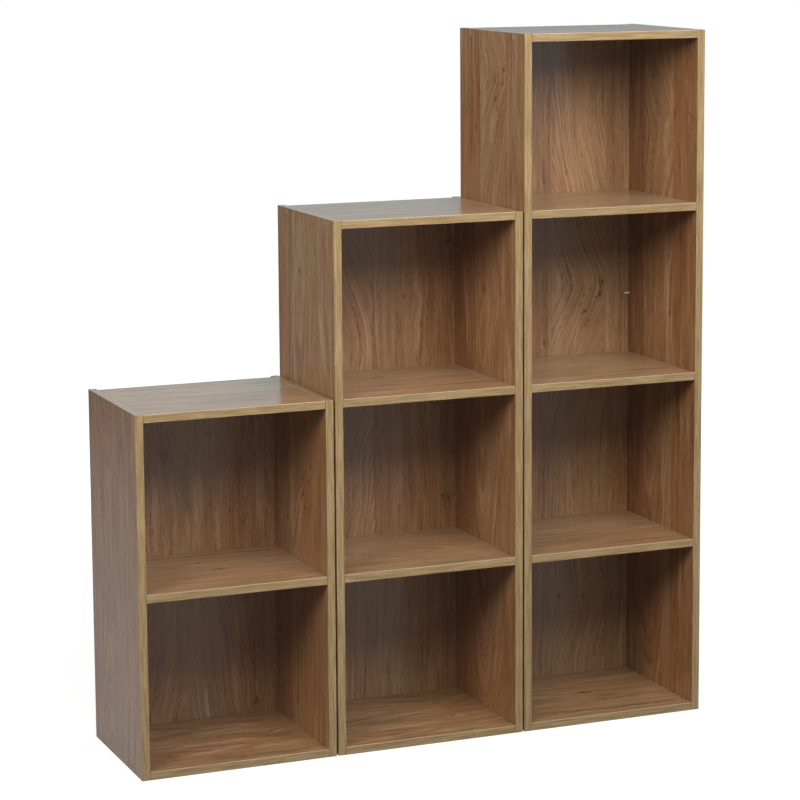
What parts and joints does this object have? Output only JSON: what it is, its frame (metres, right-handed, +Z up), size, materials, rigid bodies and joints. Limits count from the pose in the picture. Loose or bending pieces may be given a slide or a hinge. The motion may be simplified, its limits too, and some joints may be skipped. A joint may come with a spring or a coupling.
{
  "type": "bookcase set",
  "caption": "Open-front bookcases of stepped height, side by side: flat boards and fixed shelves on capped screws driven through the sides, with a thin back held in grooves.",
  "frame": {"origin": "on the floor under the middle of the set, halfway along its width and halfway through its depth", "axes": "+X runs along the fronts from the lowest bookcase to the tallest, +Y runs from the open fronts to the backs, +Z is up"},
  "size_m": [0.906, 0.24, 1.06],
  "materials": {
    "side_board": "satin wood-print foil on particle board, with a pale front edge band",
    "level_board": "semi-gloss wood-print foil on particle board, with a pale front edge band",
    "back_board": "matt wood-print paper on thin fibreboard",
    "steel": "zinc-plated steel",
    "cap_plastic": "matt beige plastic"
  },
  "bodies": {
    "root": {"low_left_side": "side_board", "low_right_side": "side_board", "low_bottom": "level_board", "low_shelf_1": "level_board", "low_top": "level_board", "low_back": "back_board", "low_bottom_left_front_screw": "steel", "low_bottom_right_front_screw": "steel", "low_bottom_left_rear_screw": "steel", "low_bottom_right_rear_screw": "steel", "low_shelf_1_left_front_screw": "steel", "low_shelf_1_right_front_screw": "steel", "low_top_left_front_screw": "steel", "low_top_right_front_screw": "steel", "low_top_left_rear_screw": "steel", "low_top_right_rear_screw": "steel", "middle_left_side": "side_board", "middle_right_side": "side_board", "middle_bottom": "level_board", "middle_shelf_1": "level_board", "middle_shelf_2": "level_board", "middle_top": "level_board", "middle_back": "back_board", "middle_bottom_left_front_screw": "steel", "middle_bottom_right_front_screw": "steel", "middle_bottom_left_rear_screw": "steel", "middle_bottom_right_rear_screw": "steel", "middle_shelf_1_left_front_screw": "steel", "middle_shelf_1_right_front_screw": "steel", "middle_shelf_2_left_front_screw": "steel", "middle_shelf_2_right_front_screw": "steel", "middle_top_left_front_screw": "steel", "middle_top_right_front_screw": "steel", "middle_top_left_rear_screw": "steel", "middle_top_right_rear_screw": "steel", "tall_left_side": "side_board", "tall_right_side": "side_board", "tall_bottom": "level_board", "tall_shelf_1": "level_board", "tall_shelf_2": "level_board", "tall_shelf_3": "level_board", "tall_top": "level_board", "tall_back": "back_board", "tall_bottom_left_front_screw": "steel", "tall_bottom_right_front_screw": "steel", "tall_bottom_left_rear_screw": "steel", "tall_bottom_right_rear_screw": "steel", "tall_shelf_1_left_front_screw": "steel", "tall_shelf_1_right_front_screw": "steel", "tall_shelf_2_left_front_screw": "steel", "tall_shelf_2_right_front_screw": "steel", "tall_shelf_3_left_front_screw": "steel", "tall_shelf_3_right_front_screw": "steel", "tall_top_left_front_screw": "steel", "tall_top_right_front_screw": "steel", "tall_top_left_rear_screw": "steel", "tall_top_right_rear_screw": "steel", "tall_back_pin": "steel"}
  },
  "joints": []
}
